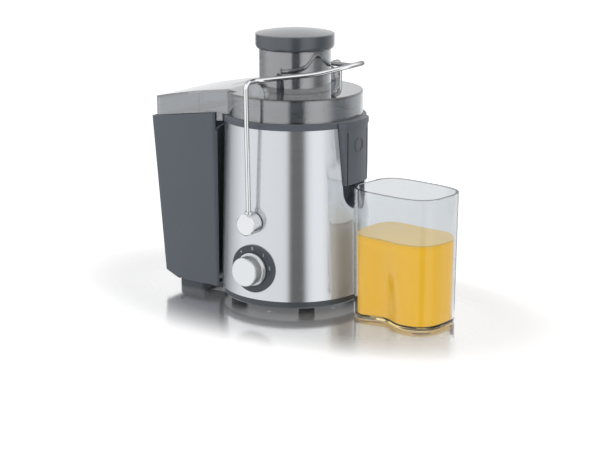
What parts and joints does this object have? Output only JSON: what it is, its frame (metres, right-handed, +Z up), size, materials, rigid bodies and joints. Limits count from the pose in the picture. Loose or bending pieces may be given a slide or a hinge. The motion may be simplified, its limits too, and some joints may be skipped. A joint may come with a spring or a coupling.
{
  "type": "centrifugal juicer",
  "caption": "Centrifugal juicer: steel-clad motor body with control knob, sieve under a clear lid with feed chute, locking bail, pulp container and juice jug.",
  "frame": {"origin": "on the table, under the motor's axis", "axes": "+X from the motor towards the spout and the jug, -Y towards the knob's side, +Z up"},
  "size_m": [0.3285, 0.1795, 0.2737],
  "materials": {
    "slate_plastic": "satin moulded",
    "dark_plastic": "satin moulded",
    "dial_plastic": "satin moulded with a printed scale",
    "black_rubber": "matt",
    "sleeve_steel": "fine horizontal brushing",
    "sieve_steel": "perforated sheet",
    "bright_metal": "polished",
    "knob_silver": "satin plating",
    "face_silver": "fine brushed",
    "smoky_clear": "clear smoky plastic",
    "jug_clear": "clear plastic",
    "zinc_screws": "zinc plated",
    "laminations": "stacked sheet edges",
    "copper": "varnished copper wire",
    "brass_parts": "stamped",
    "carbon": "matt carbon",
    "bracket_plastic": "glass filled nylon",
    "switch_plastic": "moulded",
    "capacitor_case": "wrapped film"
  },
  "bodies": {
    "body": {"base_plate": "dark_plastic", "rubber_feet": "black_rubber", "base_screws": "zinc_screws", "container_stand": "dark_plastic", "inner_housing": "slate_plastic", "steel_sleeve": "sleeve_steel", "dial_ring": "dial_plastic", "pivot_pins": "zinc_screws", "juice_bowl": "slate_plastic", "bowl_gasket": "black_rubber", "lid": "smoky_clear", "cord_gland": "black_rubber", "stator_core": "laminations", "field_coils": "copper", "lower_bracket": "bracket_plastic", "upper_bracket": "bracket_plastic", "motor_screws": "zinc_screws", "lower_bearing": "bright_metal", "upper_bearing": "bright_metal", "brush_holders": "brass_parts", "carbon_brushes": "carbon", "shaft_seal": "black_rubber", "rotary_switch": "switch_plastic", "safety_switch": "switch_plastic", "suppression_capacitor": "capacitor_case"},
    "rotor": {"motor_shaft": "bright_metal", "armature_core": "laminations", "armature_windings": "copper", "commutator": "copper", "cooling_fan": "bracket_plastic", "drive_coupling": "bracket_plastic", "sieve_basket": "dark_plastic", "filter_cone": "sieve_steel", "grater_disc": "sieve_steel", "disc_nut": "bright_metal"},
    "bail": {"bail_wire": "bright_metal", "front_boss": "knob_silver", "rear_boss": "knob_silver"},
    "pusher": {"pusher_tube": "dark_plastic", "pusher_cap": "dark_plastic"},
    "knob": {"knob_grip": "knob_silver", "knob_face": "face_silver", "knob_spindle": "zinc_screws"},
    "container": {"pulp_container": "slate_plastic"},
    "jug": {"juice_jug": "jug_clear"}
  },
  "joints": [
    {"name": "rotor_spin", "type": "hinge", "parent": "body", "child": "rotor", "pos_m": [0, 0, 0.1], "axis": [0, 0, 1], "continuous": true},
    {"name": "bail_swing", "type": "hinge", "parent": "body", "child": "bail", "pos_m": [0, 0, 0.0915], "axis": [0, 1, 0], "range_deg": [0, 45]},
    {"name": "pusher_slide", "type": "slide", "parent": "body", "child": "pusher", "axis": [0, 0, 1], "range_m": [0, 0.1]},
    {"name": "knob_turn", "type": "hinge", "parent": "body", "child": "knob", "pos_m": [0, -0.08, 0.04475], "axis": [0, 1, 0], "range_deg": [-40, 80]},
    {"name": "container_tilt", "type": "hinge", "parent": "body", "child": "container", "pos_m": [-0.11, 0, 0.0096], "axis": [0, -1, 0], "range_deg": [0, 12]},
    {"name": "jug_slide", "type": "slide", "parent": "body", "child": "jug", "axis": [0.9914, -0.1305, 0], "range_m": [0, 0.12]}
  ]
}
